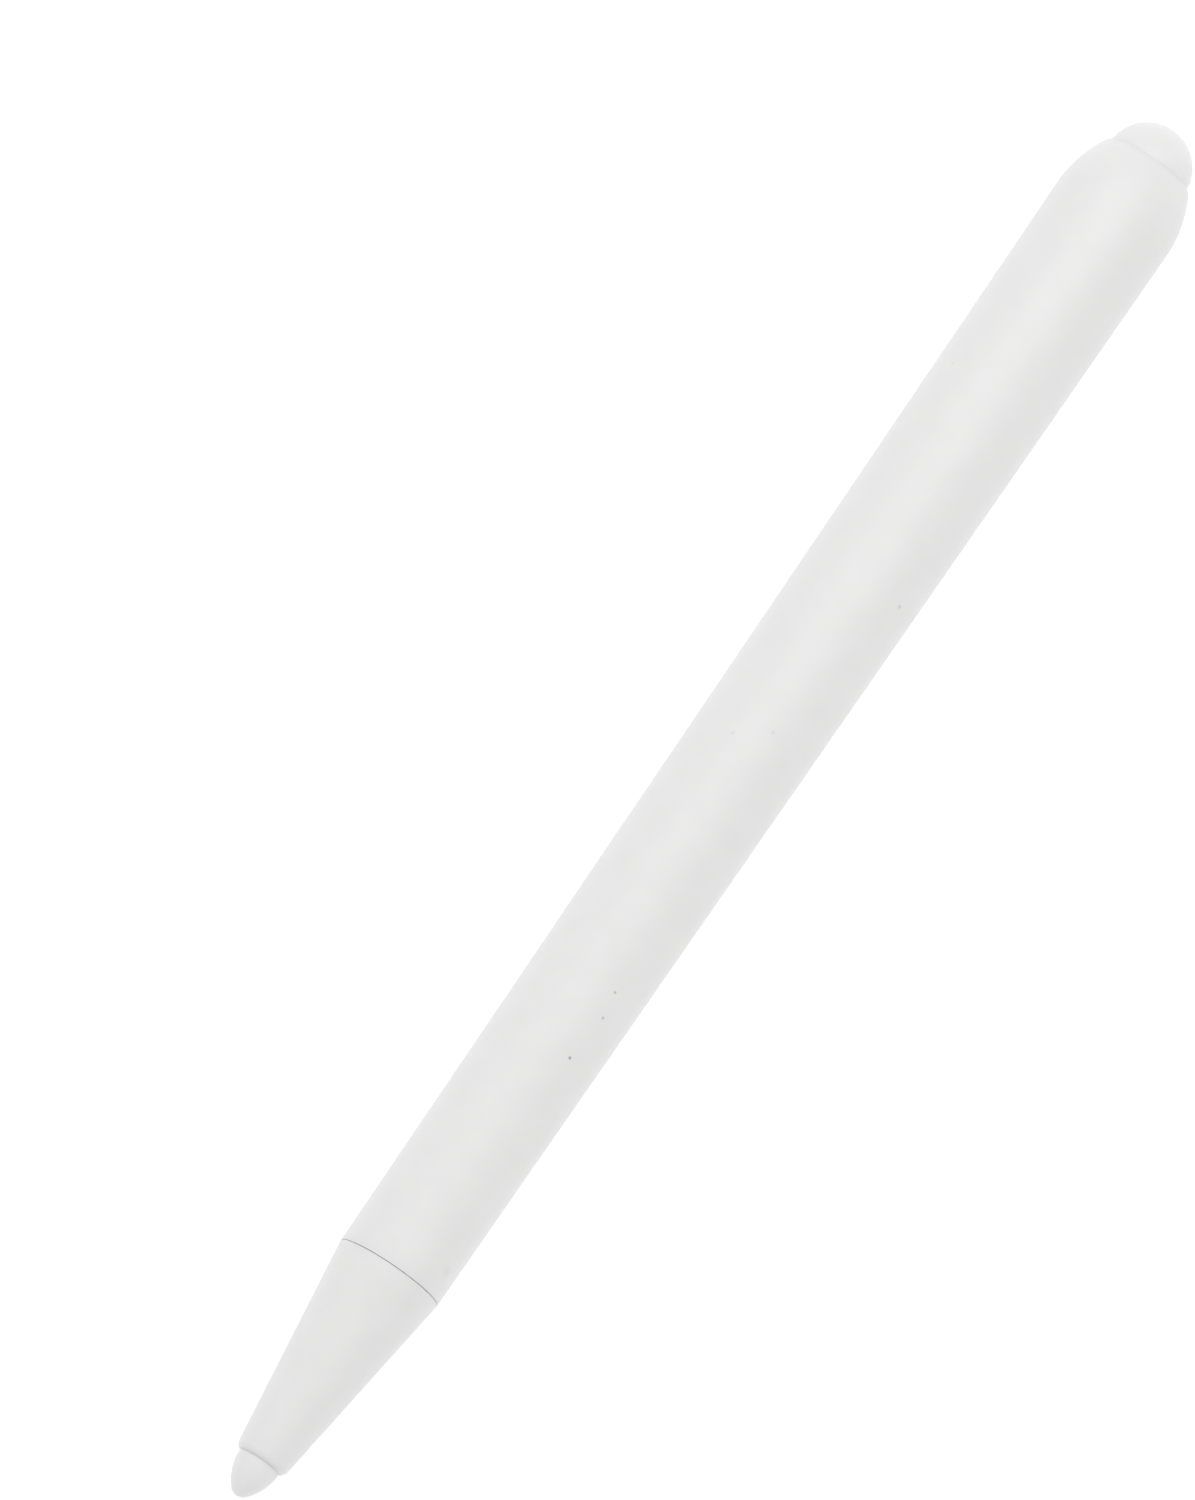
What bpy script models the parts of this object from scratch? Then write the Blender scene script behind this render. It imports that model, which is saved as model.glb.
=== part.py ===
"""A double-ended stylus pen for touch displays, lying along X with its fine nib towards -X.

Lengths are metres. A station is a distance along the pen from the tip of the fine nib, and every
piece is modelled in the pen's own frame, where local Z runs along the pen from the fine nib to the
broad one. The radius of a turned piece is measured to the flats of its facets.
"""

import math

import bmesh
import bpy

# Outer form
BARREL_RADIUS = 0.0065
SEAM_RADIUS = 0.00565
NOSE_RIM_RADIUS = 0.00275
NOSE_RIM_ROUNDING = 0.0004
NOSE_RIM_STATION = 0.004
SEAM_STATION = 0.02625
SEAM_GAP = 0.00018
TAPER_END_STATION = 0.1532
SHOULDER_ARC_RADIUS = 0.013
OPENING_RADIUS = 0.0046
OPENING_LIP = 0.0001

# Fine nib and what holds it
FINE_NIB_RADIUS = 0.00226
FINE_NIB_TIP_RADIUS = 0.0012
FINE_NIB_FLANK_END = 0.0041
FINE_NIB_HEAD_END = 0.0053
FINE_STEM_RADIUS = 0.0012
FINE_STEM_END = 0.0185
NIB_GAP = 0.0001
NOSE_WEB_END = 0.0068
SLEEVE_WALL = 0.001
FINE_SLEEVE_LENGTH = 0.0123
NOSE_SLEEVE_BORE_END = 0.0196

# Screw joint between nose and barrel
SPIGOT_RADIUS = 0.0041
SPIGOT_BORE_RADIUS = 0.0032
SPIGOT_END = 0.0327
PITCH = 0.0016
THREAD_CENTRE_RADIUS = 0.00415
THREAD_WIRE_RADIUS = 0.00045
THREAD_CLEARANCE = 0.00015
THREAD_START = 0.0276
THREAD_TURNS = 2.5
RUN_OUT_TURNS = 0.25
RUN_OUT_SCALE = 0.3

# Broad nib and what holds it
BROAD_NIB_RADIUS = 0.0045
BROAD_NIB_CENTRE_INSET = 0.00035
BROAD_SKIRT_LENGTH = 0.0026
BROAD_STEM_RADIUS = 0.002
BROAD_STEM_LENGTH = 0.0092
OPENING_DEPTH = 0.0034
REAR_WALL_LENGTH = 0.0103
FLANGE_THICKNESS = 0.0011

# Inside the barrel
BORE_RADIUS = 0.0043
FIT_GAP = 0.0002
PIECE_GAP = 0.0003
TRAY_START = 0.044
TRAY_RADIUS = 0.0041
TRAY_WALL = 0.002
TRAY_EDGE_HEIGHT = 0.0016
POCKET_GAP = 0.0001
SLUG_RADIUS = 0.003
MAGNET_LENGTH = 0.010
WEIGHT_LENGTH = 0.060

# Mesh
FACETS = 28
ARC_STEPS = 6
RIM_STEPS = 3
DOME_STEPS = 8
THREAD_POINTS_PER_TURN = 24
MERGE = 1e-6

# Worked out from the sizes above
FACET_REACH = 1 / math.cos(math.pi / FACETS)
SHOULDER_DROP = BARREL_RADIUS - OPENING_RADIUS - OPENING_LIP
RIM_STATION = TAPER_END_STATION + math.sqrt(
    2 * SHOULDER_ARC_RADIUS * SHOULDER_DROP - SHOULDER_DROP**2
)
DOME_CENTRE = RIM_STATION - BROAD_NIB_CENTRE_INSET
PEN_LENGTH = DOME_CENTRE + BROAD_NIB_RADIUS
MOUTH_STATION = SEAM_STATION + SEAM_GAP
OPENING_FLOOR = RIM_STATION - OPENING_DEPTH
REAR_WALL_START = OPENING_FLOOR - REAR_WALL_LENGTH
SKIRT_START = DOME_CENTRE - BROAD_SKIRT_LENGTH
SLEEVE_CLEARANCE = 2 * NIB_GAP

GROUPS = ("pen", "nose_advance", "nose_turn", "fine_nib_pull", "broad_nib_pull")
COLOURS = {
    "white_plastic": (0.80, 0.80, 0.80),
    "nib_white": (0.86, 0.86, 0.86),
    "grey_elastomer": (0.25, 0.25, 0.26),
    "black_plastic": (0.03, 0.03, 0.03),
    "nickel": (0.66, 0.64, 0.60),
    "steel": (0.45, 0.45, 0.46),
    "foam": (0.10, 0.10, 0.11),
}


def clear_scene():
    for obj in list(bpy.data.objects):
        bpy.data.objects.remove(obj, do_unlink=True)


def new_collection(name):
    collection = bpy.data.collections.new(name)
    bpy.context.scene.collection.children.link(collection)
    return collection


def new_material(name, roughness, metallic=0.0):
    material = bpy.data.materials.new(name)
    material.use_nodes = True
    shader = material.node_tree.nodes["Principled BSDF"]
    shader.inputs["Base Color"].default_value = (*COLOURS[name], 1.0)
    shader.inputs["Roughness"].default_value = roughness
    shader.inputs["Metallic"].default_value = metallic
    return material


def add_object(name, mesh, collection, material=None, parent=None):
    obj = bpy.data.objects.new(name, mesh)
    collection.objects.link(obj)
    obj.parent = parent
    if material:
        mesh.materials.append(material)
    return obj


def add_joint_empties(collection):
    """One empty per rigid group, all on the pen's axis, so that local Z runs along the pen."""
    empties = {}
    for name in GROUPS:
        empty = bpy.data.objects.new(name + "_axis", None)
        collection.objects.link(empty)
        empties[name] = empty
    root = empties["pen"]
    root.location = (-PEN_LENGTH / 2, 0, BARREL_RADIUS)
    root.rotation_euler = (0, math.pi / 2, 0)
    empties["nose_advance"].parent = root
    empties["nose_turn"].parent = empties["nose_advance"]
    empties["fine_nib_pull"].parent = empties["nose_turn"]
    empties["broad_nib_pull"].parent = root
    return empties


def arc(centre_station, centre_radius, radius, start, end, steps):
    """Points of an arc in an outline. Angle 0 points outwards and 90 degrees to the rear."""
    points = []
    for i in range(steps + 1):
        angle = start + (end - start) * i / steps
        station = centre_station + radius * math.sin(angle)
        points.append((station, centre_radius + radius * math.cos(angle)))
    return points


def turned(name, outline, collection, material=None, parent=None, closed=True):
    """A piece turned about the pen's axis.

    The outline is (station, radius) points, down the outer side from rear to front, and then back
    along the bore if the piece has one. A piece with no bore has an open outline from axis to axis.
    """
    mesh = bpy.data.meshes.new(name)
    points = [(radius * FACET_REACH, 0, station) for station, radius in outline]
    edges = [(i, i + 1) for i in range(len(points) - 1)]
    if closed:
        edges.append((len(points) - 1, 0))
    mesh.from_pydata(points, edges, [])
    obj = add_object(name, mesh, collection, material, parent)
    # a flat, not a corner, faces down
    obj.rotation_euler = (0, 0, math.pi / FACETS)
    screw = obj.modifiers.new("Turn", "SCREW")
    screw.axis = "Z"
    screw.steps = FACETS
    screw.render_steps = FACETS
    screw.use_merge_vertices = True
    screw.merge_threshold = MERGE
    screw.use_smooth_shade = True
    return obj


def rod(name, start, end, radius, collection, material=None, parent=None):
    outline = [(end, 0), (end, radius), (start, radius), (start, 0)]
    return turned(name, outline, collection, material, parent, closed=False)


def helix_wire(name, start, end, wire_radius, collection, parent):
    """A right-hand helix of round wire, as a mesh that thins out at both ends.

    Its phase follows from the station alone, so a thread and its groove are in step.
    """
    count = round((end - start) / PITCH * THREAD_POINTS_PER_TURN)
    curve = bpy.data.curves.new(name, "CURVE")
    curve.dimensions = "3D"
    curve.bevel_depth = wire_radius
    curve.bevel_resolution = 2
    curve.use_fill_caps = True
    spline = curve.splines.new("POLY")
    spline.points.add(count)
    for i, point in enumerate(spline.points):
        station = start + (end - start) * i / count
        angle = 2 * math.pi * station / PITCH
        x = THREAD_CENTRE_RADIUS * math.cos(angle)
        y = THREAD_CENTRE_RADIUS * math.sin(angle)
        point.co = (x, y, station, 1)
        turns_to_end = min(i, count - i) / THREAD_POINTS_PER_TURN
        full = min(1, turns_to_end / RUN_OUT_TURNS)
        point.radius = RUN_OUT_SCALE + (1 - RUN_OUT_SCALE) * full
    return mesh_from_curve(name, curve, collection, parent)


def mesh_from_curve(name, curve, collection, parent):
    """The curve's tube as a mesh object with welded caps."""
    guide = add_object(name + "_curve", curve, collection, parent=parent)
    bpy.context.view_layer.update()
    evaluated = guide.evaluated_get(bpy.context.evaluated_depsgraph_get())
    mesh = bpy.data.meshes.new_from_object(evaluated)
    placed = guide.matrix_world.copy()
    bpy.data.objects.remove(guide, do_unlink=True)
    welded = bmesh.new()
    welded.from_mesh(mesh)
    bmesh.ops.remove_doubles(welded, verts=welded.verts, dist=MERGE)
    welded.to_mesh(mesh)
    welded.free()
    wire = add_object(name, mesh, collection)
    wire.matrix_world = placed
    return wire


def box(name, low, high, collection, parent):
    """A box between two corners in the pen's frame."""
    mesh = bpy.data.meshes.new(name)
    cube = bmesh.new()
    bmesh.ops.create_cube(cube, size=1)
    for vertex in cube.verts:
        for i in range(3):
            vertex.co[i] = high[i] if vertex.co[i] > 0 else low[i]
    cube.to_mesh(mesh)
    cube.free()
    return add_object(name, mesh, collection, parent=parent)


def combine(obj, other, operation):
    other.hide_render = True
    other.display_type = "WIRE"
    boolean = obj.modifiers.new(other.name, "BOOLEAN")
    boolean.operation = operation
    boolean.solver = "EXACT"
    boolean.object = other


def build_barrel(parts, cutters, parent, material):
    """A tapered tube with a threaded mouth, a rounded rear end and a bored wall behind its opening."""
    shoulder_end = math.asin((RIM_STATION - TAPER_END_STATION) / SHOULDER_ARC_RADIUS)
    shoulder = arc(
        TAPER_END_STATION,
        BARREL_RADIUS - SHOULDER_ARC_RADIUS,
        SHOULDER_ARC_RADIUS,
        shoulder_end,
        0,
        ARC_STEPS,
    )
    sleeve_bore = BROAD_STEM_RADIUS + SLEEVE_WALL + SLEEVE_CLEARANCE
    outline = shoulder + [
        (MOUTH_STATION, SEAM_RADIUS),
        (MOUTH_STATION, BORE_RADIUS),
        (REAR_WALL_START, BORE_RADIUS),
        (REAR_WALL_START, sleeve_bore),
        (OPENING_FLOOR, sleeve_bore),
        (OPENING_FLOOR, OPENING_RADIUS),
        (RIM_STATION, OPENING_RADIUS),
    ]
    barrel = turned("barrel", outline, parts, material, parent)
    groove = helix_wire(
        "barrel_thread_groove",
        MOUTH_STATION - PITCH / 2,
        THREAD_START + (THREAD_TURNS + RUN_OUT_TURNS) * PITCH,
        THREAD_WIRE_RADIUS + THREAD_CLEARANCE,
        cutters,
        parent,
    )
    combine(barrel, groove, "DIFFERENCE")


def build_nose_cone(parts, cutters, parent, material):
    """A cone with a round rim, a pocket for the nib's head and a threaded spigot at the rear."""
    slope = (SEAM_RADIUS - NOSE_RIM_RADIUS) / (SEAM_STATION - NOSE_RIM_STATION)
    lean = math.atan(slope)
    # the rim's rounding touches the cone's flank and its flat front
    flank_radius = NOSE_RIM_RADIUS + slope * NOSE_RIM_ROUNDING
    rim = arc(
        NOSE_RIM_STATION + NOSE_RIM_ROUNDING,
        flank_radius - NOSE_RIM_ROUNDING / math.cos(lean),
        NOSE_RIM_ROUNDING,
        -lean,
        -math.pi / 2,
        RIM_STEPS,
    )
    pocket_radius = FINE_NIB_RADIUS + NIB_GAP
    pocket_end = FINE_NIB_HEAD_END + PIECE_GAP
    sleeve_bore = FINE_STEM_RADIUS + SLEEVE_WALL + SLEEVE_CLEARANCE
    outline = [(SPIGOT_END, SPIGOT_RADIUS), (SEAM_STATION, SPIGOT_RADIUS)]
    outline += [(SEAM_STATION, SEAM_RADIUS), *rim]
    outline += [
        (NOSE_RIM_STATION, pocket_radius),
        (pocket_end, pocket_radius),
        (pocket_end, FINE_STEM_RADIUS + NIB_GAP),
        (NOSE_WEB_END, FINE_STEM_RADIUS + NIB_GAP),
        (NOSE_WEB_END, sleeve_bore),
        (NOSE_SLEEVE_BORE_END, sleeve_bore),
        (NOSE_SLEEVE_BORE_END, SPIGOT_BORE_RADIUS),
        (SPIGOT_END, SPIGOT_BORE_RADIUS),
    ]
    nose = turned("nose_cone", outline, parts, material, parent)
    thread = helix_wire(
        "nose_thread",
        THREAD_START,
        THREAD_START + THREAD_TURNS * PITCH,
        THREAD_WIRE_RADIUS,
        cutters,
        parent,
    )
    combine(nose, thread, "UNION")


def build_fine_nib(parts, parent, material):
    """A bullet: a small round tip that runs into a long flank arc, a straight head and a stem."""
    tip = FINE_NIB_TIP_RADIUS
    run = FINE_NIB_FLANK_END - tip
    # the flank's arc touches the tip's sphere and the head's straight side
    flank = (run**2 + FINE_NIB_RADIUS**2 - tip**2) / (2 * (FINE_NIB_RADIUS - tip))
    meeting = -math.asin(run / (flank - tip))
    outline = [
        (FINE_STEM_END, 0),
        (FINE_STEM_END, FINE_STEM_RADIUS),
        (FINE_NIB_HEAD_END, FINE_STEM_RADIUS),
        (FINE_NIB_HEAD_END, FINE_NIB_RADIUS),
    ]
    flank_centre = FINE_NIB_RADIUS - flank
    outline += arc(FINE_NIB_FLANK_END, flank_centre, flank, 0, meeting, ARC_STEPS)
    round_tip = arc(tip, 0, tip, meeting, -math.pi / 2, ARC_STEPS)
    outline += [*round_tip[1:-1], (0, 0)]
    turned("fine_nib", outline, parts, material, parent, closed=False)


def build_fine_nib_sleeve(parts, parent, material):
    start = NOSE_WEB_END + FIT_GAP
    end = start + FINE_SLEEVE_LENGTH
    inner = FINE_STEM_RADIUS + NIB_GAP
    outer = inner + SLEEVE_WALL
    outline = [(end, inner), (end, outer), (start, outer), (start, inner)]
    turned("fine_nib_sleeve", outline, parts, material, parent)


def build_broad_nib(parts, parent, material):
    """A half-round dome on a short skirt, with a stem towards the front."""
    stem_end = SKIRT_START - BROAD_STEM_LENGTH
    dome = arc(DOME_CENTRE, 0, BROAD_NIB_RADIUS, math.pi / 2, 0, DOME_STEPS)
    outline = [(PEN_LENGTH, 0), *dome[1:]]
    outline += [
        (SKIRT_START, BROAD_NIB_RADIUS),
        (SKIRT_START, BROAD_STEM_RADIUS),
        (stem_end, BROAD_STEM_RADIUS),
        (stem_end, 0),
    ]
    turned("broad_nib", outline, parts, material, parent, closed=False)


def build_broad_nib_sleeve(parts, parent, material):
    """A sleeve in the bored rear wall, kept there by a flange inside the barrel."""
    inner = BROAD_STEM_RADIUS + NIB_GAP
    outer = inner + SLEEVE_WALL
    flange_end = REAR_WALL_START - FIT_GAP
    flange_start = flange_end - FLANGE_THICKNESS
    end = OPENING_FLOOR - FIT_GAP
    outline = [
        (end, inner),
        (end, outer),
        (flange_end, outer),
        (flange_end, BORE_RADIUS - FIT_GAP),
        (flange_start, BORE_RADIUS - FIT_GAP),
        (flange_start, inner),
    ]
    turned("broad_nib_sleeve", outline, parts, material, parent)


def tray_slugs():
    """(name, start, end) of the magnets and the weight, from front to rear."""
    lengths = (
        ("front_magnet", MAGNET_LENGTH),
        ("weight_rod", WEIGHT_LENGTH),
        ("rear_magnet", MAGNET_LENGTH),
    )
    slugs = []
    station = TRAY_START
    for name, length in lengths:
        start = station + TRAY_WALL + FIT_GAP
        slugs.append((name, start, start + length))
        station = start + length + FIT_GAP
    return slugs


def tray_end():
    return tray_slugs()[-1][2] + FIT_GAP + TRAY_WALL


def build_magnet_tray(parts, cutters, parent, material):
    """A round bar with its top cut off and a round-bottomed pocket for each slug."""
    end = tray_end()
    tray = rod("magnet_tray", TRAY_START, end, TRAY_RADIUS, parts, material, parent)
    over = TRAY_RADIUS + FIT_GAP
    # the trough is open upwards, which is -X in the pen's frame
    top = box(
        "tray_top_cut",
        (-TRAY_RADIUS - over, -over, TRAY_START - over),
        (-TRAY_EDGE_HEIGHT, over, end + over),
        cutters,
        parent,
    )
    combine(tray, top, "DIFFERENCE")
    reach = SLUG_RADIUS + POCKET_GAP
    for name, start, stop in tray_slugs():
        low, high = start - FIT_GAP, stop + FIT_GAP
        bottom = rod(name + "_pocket", low, high, reach, cutters, parent=parent)
        combine(tray, bottom, "DIFFERENCE")
        sides = box(
            name + "_pocket_sides",
            (-over, -reach, low),
            (0, reach, high),
            cutters,
            parent,
        )
        combine(tray, sides, "DIFFERENCE")


def build_slugs(parts, parent, magnet_material, weight_material):
    for name, start, end in tray_slugs():
        material = weight_material if name == "weight_rod" else magnet_material
        rod(name, start, end, SLUG_RADIUS, parts, material, parent)


def build_pads(parts, parent, material):
    """Foam plugs that keep the tray from sliding in the barrel."""
    radius = BORE_RADIUS - FIT_GAP
    flange_start = REAR_WALL_START - FIT_GAP - FLANGE_THICKNESS
    front = (SPIGOT_END + PIECE_GAP, TRAY_START - PIECE_GAP)
    rear = (tray_end() + PIECE_GAP, flange_start - PIECE_GAP)
    rod("front_pad", *front, radius, parts, material, parent)
    rod("rear_pad", *rear, radius, parts, material, parent)


def main():
    clear_scene()
    parts = new_collection("double_ended_stylus_pen")
    cutters = new_collection("cutters")
    axis = add_joint_empties(parts)
    bpy.context.view_layer.update()

    shell = new_material("white_plastic", roughness=0.42)
    nib = new_material("nib_white", roughness=0.38)
    grip = new_material("grey_elastomer", roughness=0.75)
    carrier = new_material("black_plastic", roughness=0.5)
    nickel = new_material("nickel", roughness=0.2, metallic=1.0)
    steel = new_material("steel", roughness=0.35, metallic=1.0)
    foam = new_material("foam", roughness=0.95)

    build_barrel(parts, cutters, axis["pen"], shell)
    build_nose_cone(parts, cutters, axis["nose_turn"], shell)
    build_fine_nib(parts, axis["fine_nib_pull"], nib)
    build_fine_nib_sleeve(parts, axis["nose_advance"], grip)
    build_broad_nib(parts, axis["broad_nib_pull"], nib)
    build_broad_nib_sleeve(parts, axis["pen"], grip)
    build_magnet_tray(parts, cutters, axis["pen"], carrier)
    build_slugs(parts, axis["pen"], nickel, steel)
    build_pads(parts, axis["pen"], foam)


main()
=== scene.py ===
"""A double-ended stylus pen for touch displays: its visible pieces, materials, light and camera.

Lengths are metres. A station is a distance along the pen from the tip of the fine nib. Every piece
except the magnet tray is turned about the pen's axis, from an outline of (station, radius) points.
"""

import math

import bmesh
import bpy
import numpy as np
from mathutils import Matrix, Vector, noise


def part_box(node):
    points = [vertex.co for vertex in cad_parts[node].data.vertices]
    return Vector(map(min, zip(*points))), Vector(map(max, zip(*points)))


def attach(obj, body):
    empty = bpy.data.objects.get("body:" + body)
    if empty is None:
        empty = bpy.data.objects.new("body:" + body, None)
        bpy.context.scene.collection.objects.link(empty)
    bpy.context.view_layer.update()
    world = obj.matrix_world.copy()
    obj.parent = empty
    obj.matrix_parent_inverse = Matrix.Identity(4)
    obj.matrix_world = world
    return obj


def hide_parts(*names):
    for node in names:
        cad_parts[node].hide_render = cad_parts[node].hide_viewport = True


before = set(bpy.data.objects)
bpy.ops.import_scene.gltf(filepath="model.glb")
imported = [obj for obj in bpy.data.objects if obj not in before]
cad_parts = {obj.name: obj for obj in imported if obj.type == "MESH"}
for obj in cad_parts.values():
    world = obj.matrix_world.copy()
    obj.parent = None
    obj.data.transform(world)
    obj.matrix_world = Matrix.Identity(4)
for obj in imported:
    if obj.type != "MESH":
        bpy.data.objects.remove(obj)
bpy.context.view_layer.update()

MM = 0.001

# Where the pen lies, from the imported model
PEN_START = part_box("fine_nib")[0].x
PEN_CENTRE = (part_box("barrel")[0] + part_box("barrel")[1]) / 2
AXIS_HEIGHT = PEN_CENTRE.z
PEN_CENTRE.x = (PEN_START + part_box("broad_nib")[1].x) / 2


def extent(node):
    """(first station, last station, radius) of a turned CAD node."""
    low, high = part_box(node)
    return low.x - PEN_START, high.x - PEN_START, (high.y - low.y) / 2


CAD_MOUTH_STATION, CAD_RIM_STATION, BARREL_RADIUS = extent("barrel")
NOSE_RIM_STATION, SPIGOT_END, SEAM_RADIUS = extent("nose_cone")
FINE_STEM_END, FINE_NIB_RADIUS = extent("fine_nib")[1:]
BROAD_STEM_START, PEN_LENGTH, BROAD_NIB_RADIUS = extent("broad_nib")
DOME_CENTRE = PEN_LENGTH - BROAD_NIB_RADIUS

# Shell
CAD_SEAM_GAP = 0.18 * MM
SEAM_GAP = 0.055 * MM
RIM_SETBACK = 0.26 * MM
RIM_ROUNDING = 0.5 * MM
SHOULDER_ARC_RADIUS = 13 * MM
OPENING_EDGE_RADIUS = 4.85 * MM
OPENING_DEPTH = 3.4 * MM
REAR_WALL_LENGTH = 10.3 * MM
REAR_WALL_BORE = 3.2 * MM
BORE_RADIUS = 4.3 * MM
NOSE_RIM_RADIUS = 2.75 * MM
NOSE_RIM_ROUNDING = 1 * MM
NOSE_RIM_TURN = math.radians(58)
NOSE_POCKET_END = 5.6 * MM
NOSE_WEB_END = 6.8 * MM
NOSE_WEB_BORE = 1.3 * MM
NOSE_SLEEVE_BORE = 2.5 * MM
NOSE_SLEEVE_BORE_END = 19.6 * MM
SPIGOT_RADIUS = 4.1 * MM
SPIGOT_BORE_RADIUS = 3.2 * MM
NIB_JOINT = 0.004 * MM

# The barrel reaches across most of the gap in the CAD model, which leaves a hairline seam
SHOULDER_STATION = CAD_MOUTH_STATION - CAD_SEAM_GAP
MOUTH_STATION = SHOULDER_STATION + SEAM_GAP

# The shoulder's arc starts where the taper ends and is cut short at the opening
RIM_STATION = CAD_RIM_STATION - RIM_SETBACK
SHOULDER_DROP = BARREL_RADIUS - OPENING_EDGE_RADIUS
SHOULDER_RUN = math.sqrt(2 * SHOULDER_ARC_RADIUS * SHOULDER_DROP - SHOULDER_DROP**2)
TAPER_END = RIM_STATION - SHOULDER_RUN

# Screw thread between nose and barrel
PITCH = 1.6 * MM
THREAD_START = 27.6 * MM
THREAD_TURNS = 2.5
THREAD_HEIGHT = 0.48 * MM
THREAD_ROOT = 0.44 * MM
THREAD_CREST = 0.18 * MM
GROOVE_DEPTH = 0.45 * MM
GROOVE_ROOT = 0.57 * MM
GROOVE_CREST = 0.32 * MM
RUN_OUT = 0.4 * MM

# Nibs
FINE_NIB_TIP_RADIUS = 1.2 * MM
FINE_NIB_FLANK_END = 4.1 * MM
FINE_NIB_HEAD_END = 5.3 * MM
FINE_STEM_RADIUS = 1.2 * MM
BROAD_SKIRT_LENGTH = 2.6 * MM
BROAD_STEM_RADIUS = 2 * MM
BROAD_STEM_GAP = 0.1 * MM

# Inside pieces
SLEEVE_WALL = 1 * MM
SLEEVE_FLANGE = 1.1 * MM
SLEEVE_RIB_PITCH = 1.2 * MM
SLEEVE_RIB_DEPTH = 0.14 * MM
TRAY_EDGE_HEIGHT = 1.6 * MM
POCKET_RADIUS = 3.1 * MM
POCKET_END_GAP = 0.2 * MM
FOAM_CELL = 0.55 * MM
FOAM_PIT_DEPTH = 0.16 * MM
FOAM_PIT_STEEPNESS = 1.8

# Edge roundings
JOINT_EDGE = 0.02 * MM
SHARP_EDGE = 0.05 * MM
SOFT_EDGE = 0.15 * MM
SLUG_EDGE = 0.35 * MM

# Mesh
SEGMENTS = 160
SMALL_SEGMENTS = 96
ARC_STEPS = 24
CORNER_STEPS = 4
LONG_ROW = 2 * MM
THREAD_ROW = 0.05 * MM
FOAM_ROW = 0.15 * MM
SHARP_ANGLE = math.radians(50)
BEVEL_SEGMENTS = 2

# Lengths below this count as nothing
NEGLIGIBLE = 1e-7

# Dust on the barrel: station in millimetres, angle about the axis in degrees (0 points down and 90
# to +Y), radius in millimetres and depth of colour
SPECKS = (
    (131.2, 137, 0.25, 0.10),
    (108.1, 231, 0.35, 0.22),
    (90.4, 197, 0.28, 0.12),
    (88.2, 166, 0.28, 0.12),
    (60.6, 214, 0.25, 0.38),
    (57.9, 219, 0.25, 0.38),
    (52.8, 214, 0.26, 0.65),
    (29.0, 240, 0.90, 0.06),
)

# White plastics: colours, roughness, and the sizes and depths of their surface detail
SHELL_COLOUR = (0.812, 0.812, 0.809)
SHELL_ROUGHNESS = 0.36
SHELL_GRAIN_DEPTH = 0.007 * MM
NIB_COLOUR = (0.82, 0.82, 0.818)
NIB_ROUGHNESS = 0.34
NIB_GRAIN_DEPTH = 0.004 * MM
MOTTLE_SIZE = 3 * MM
MOTTLE_DARK = 0.992
MOTTLE_LIGHT = 1.008
RUB_SIZE = 6 * MM
RUB_RANGE = 0.03
WAVE_SIZE = 9 * MM
WAVE_DEPTH = 0.004 * MM
GRAIN_SIZE = 0.17 * MM
TRANSLUCENCY = 0.3
LIGHT_REACH = 0.8 * MM
LIGHT_REACH_BY_COLOUR = (1.0, 1.0, 0.95)

# Inside materials: each has its plain colour, its darkest and lightest, and its smoothest and
# roughest. A size is that of a patch, stain or grain, and a depth is how far it stands up.
PATCH_LOW = 0.35
PATCH_HIGH = 0.7
RUBBER_COLOURS = (0.25, 0.25, 0.26), (0.22, 0.22, 0.23), (0.30, 0.30, 0.31)
RUBBER_ROUGHNESS = 0.75, 0.68, 0.85
RUBBER_BLOOM_SIZE = 2 * MM
RUBBER_GRAIN_SIZE = 0.12 * MM
RUBBER_GRAIN_DEPTH = 0.008 * MM
TRAY_COLOURS = 0.03, 0.024, 0.04
TRAY_ROUGHNESS = 0.5, 0.44, 0.58
TRAY_PATCH_SIZE = 5 * MM
TRAY_GRAIN_SIZE = 0.2 * MM
TRAY_GRAIN_DEPTH = 0.012 * MM
NICKEL_COLOURS = (0.66, 0.64, 0.60), (0.60, 0.575, 0.53), (0.69, 0.67, 0.63)
NICKEL_ROUGHNESS = 0.24, 0.20, 0.32
NICKEL_STAIN_SIZE = 2.5 * MM
NICKEL_PEEL_SIZE = 0.35 * MM
NICKEL_PEEL_DEPTH = 0.004 * MM
STEEL_COLOURS = (0.45, 0.45, 0.46), (0.38, 0.38, 0.39), (0.50, 0.50, 0.51)
STEEL_ROUGHNESS = 0.35, 0.27, 0.45
STEEL_STAIN_SIZE = 4 * MM
STEEL_STREAK_WIDTH = 0.15 * MM
STEEL_STREAK_STRETCH = 40
STEEL_STREAK_DEPTH = 0.006 * MM
# The foam's darkest colour is painted shade, put in the hollows of its cells
FOAM_COLOURS = (0.10, 0.10, 0.11), (0.03, 0.03, 0.035), (0.14, 0.14, 0.15)
FOAM_ROUGHNESS = 0.95
FOAM_CELL_DEPTH = 0.1 * MM
FOAM_FUZZ_SIZE = 0.1 * MM
FOAM_FUZZ_DEPTH = 0.03 * MM

# Camera
CAMERA_AZIMUTH = math.radians(-56.16)
CAMERA_ELEVATION = math.radians(76.98)
CAMERA_DISTANCE = 1.46
CAMERA_LENS = 451.8
AIM_OFFSET = Vector((-1.62, 12.0, 1.22)) * MM

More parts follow.
